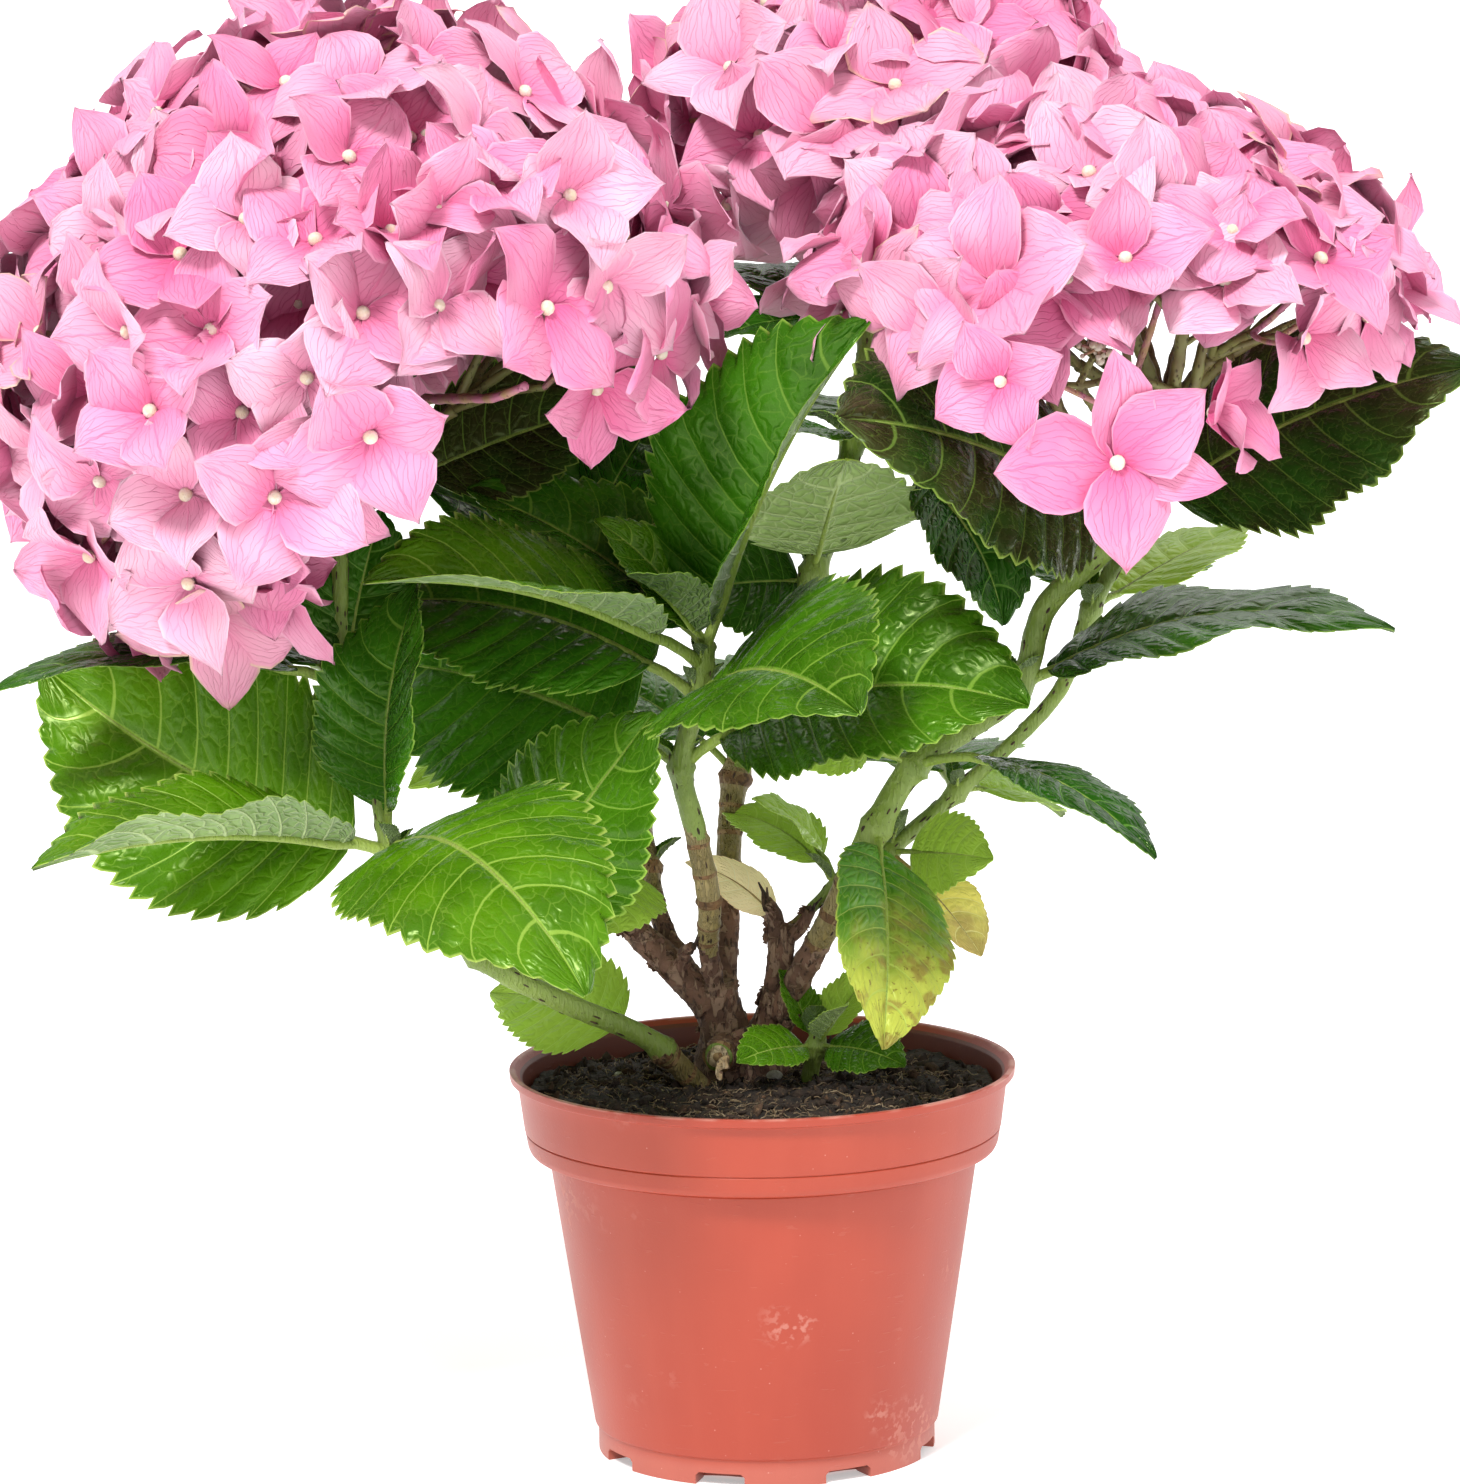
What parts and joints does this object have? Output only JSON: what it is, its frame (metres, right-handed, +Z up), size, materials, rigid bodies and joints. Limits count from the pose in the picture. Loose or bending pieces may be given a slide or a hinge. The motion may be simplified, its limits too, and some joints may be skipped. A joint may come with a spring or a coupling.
{
  "type": "potted hydrangea shrub",
  "caption": "Small leafy shrub with large domed pink flower heads on branching stems, growing in a round tapering plastic nursery pot.",
  "frame": {"origin": "centre of the pot's flat underside, where it stands", "axes": "+Z up along the pot's axis; -Y towards the front, where the right-hand head opens; +X to the right seen from the front"},
  "size_m": [0.4015, 0.2716, 0.4066],
  "materials": {
    "pot": "satin terracotta-coloured plastic",
    "soil": "loose dark peat compost",
    "bark": "dry brown peeling bark",
    "green_stem": "smooth pale green stem with darker ring scars",
    "leaf": "glossy serrated green leaf",
    "leaf_yellowing": "yellowing leaf",
    "leaf_withered": "dry cream-brown withered leaf",
    "sepal": "soft matt pink sepals"
  },
  "bodies": {
    "root": {"pot": "pot", "soil": "soil", "root_crown": "bark", "stem_front": "green_stem", "stem_rear": "green_stem", "bough_left": "bark", "stem_left": "green_stem", "bough_middle": "bark", "stem_right": "green_stem", "stem_right_rear": "green_stem", "stem_low_left": "green_stem", "side_twig": "green_stem", "basal_shoot": "green_stem", "flower_head_right": "sepal", "flower_head_left": "sepal", "flower_head_rear": "sepal", "leaves_front_top": "leaf", "leaves_front_apex": "leaf", "leaves_front_middle": "leaf", "leaves_front_low": "leaf", "leaves_low_left": "leaf", "leaves_left_middle": "leaf", "leaves_left_upper": "leaf", "leaves_left_rear": "leaf", "leaves_left_inner": "leaf", "leaf_left_low": "leaf", "leaves_right_low": "leaf", "leaves_right_middle": "leaf", "leaves_right_upper": "leaf", "leaves_right_rear": "leaf", "leaves_right_rear_low": "leaf", "leaf_yellowing": "leaf_yellowing", "leaves_side_twig": "leaf", "leaves_twig_tip": "leaf", "leaf_withered": "leaf_withered", "leaves_rear_low": "leaf", "leaf_rear_pale": "leaf", "leaves_rear_middle": "leaf", "leaves_rear_upper": "leaf", "leaves_basal": "leaf", "leaf_low_shoot": "leaf_yellowing"}
  },
  "joints": []
}
